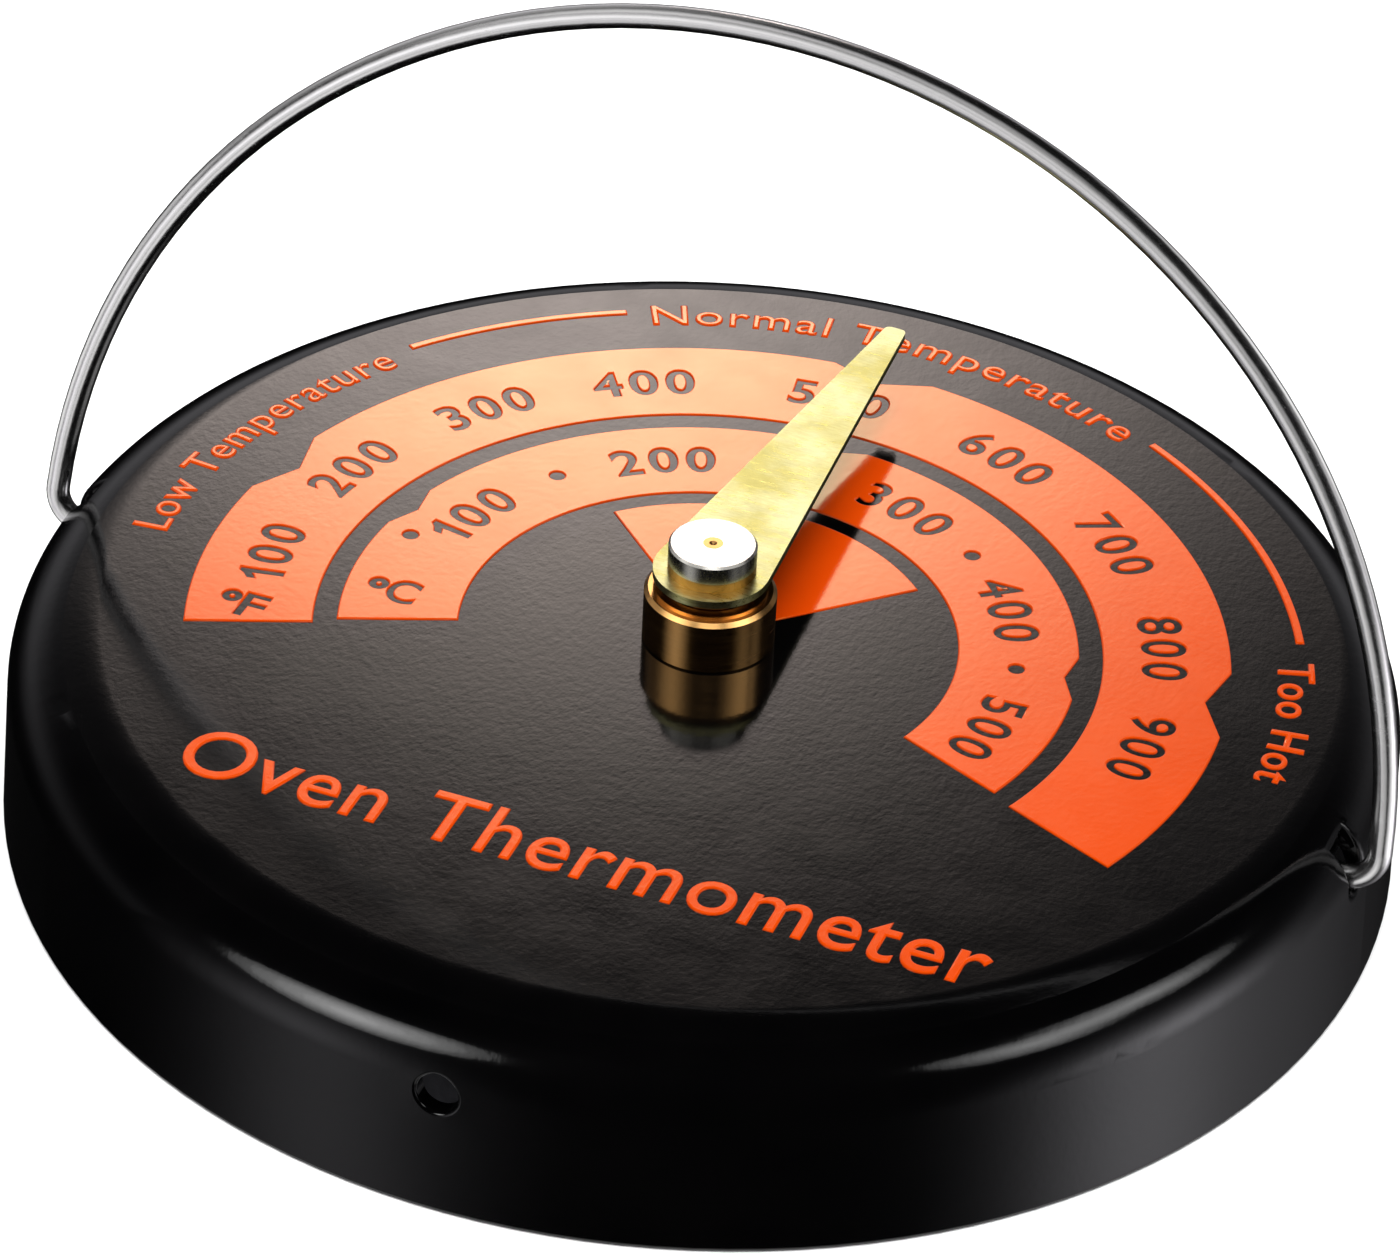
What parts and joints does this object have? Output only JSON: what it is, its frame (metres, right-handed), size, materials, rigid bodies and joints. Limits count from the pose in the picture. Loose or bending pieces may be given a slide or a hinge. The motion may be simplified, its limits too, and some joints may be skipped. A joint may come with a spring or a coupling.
{
  "type": "magnetic stove thermometer",
  "caption": "Round magnetic dial thermometer: black enamelled steel cup with raised orange scales, a brass pointer turned by a bimetal coil, and a swinging wire bail.",
  "frame": {"origin": "middle of the cup's open rim, in the plane that rests on the hot surface", "axes": "+Z out of the dial, +Y towards the top of the dial, X along the bail's pivot line"},
  "size_m": [0.0654, 0.0634, 0.0378],
  "materials": {
    "black_enamel": "semi-gloss fired enamel with fine orange peel",
    "orange_enamel": "raised semi-gloss enamel print",
    "chromed_wire": "polished",
    "turned_brass": "turned, bright",
    "brushed_brass": "brushed across its length",
    "bright_cap": "nickel-plated brass, bright",
    "plain_steel": "bright",
    "zinc_steel": "zinc-plated, satin",
    "bimetal": "rolled strip with heat tint",
    "ferrite": "ground, matt"
  },
  "bodies": {
    "case": {"dial_case": "black_enamel", "dial_print": "orange_enamel", "hub_bush": "turned_brass", "bush_washer": "zinc_steel", "bush_nut": "zinc_steel", "thrust_washer": "turned_brass", "bimetal_coil": "bimetal", "coil_anchor": "zinc_steel", "anchor_rivet": "plain_steel", "magnet_bracket_top": "zinc_steel", "magnet_top": "ferrite", "magnet_rivet_top": "plain_steel", "magnet_bracket_bottom": "zinc_steel", "magnet_bottom": "ferrite", "magnet_rivet_bottom": "plain_steel"},
    "pointer": {"spindle": "turned_brass", "pointer_collar": "turned_brass", "pointer": "brushed_brass", "pointer_washer": "turned_brass", "pointer_cap": "bright_cap", "clip_washer": "zinc_steel", "spindle_clip": "plain_steel", "coil_collet": "turned_brass"},
    "bail": {"bail_handle": "chromed_wire"}
  },
  "joints": [
    {"name": "pointer_turn", "type": "hinge", "parent": "case", "child": "pointer", "pos_m": [0, 0, 0.0089], "axis": [0, 0, 1], "range_deg": [-110, 116], "stiffness_Nm_per_rad": 0.0002, "deforming": ["bimetal_coil"]},
    {"name": "bail_swing", "type": "hinge", "parent": "case", "child": "bail", "pos_m": [0, -0.00147, 0.00675], "axis": [1, 0, 0], "range_deg": [-68, 109]}
  ]
}
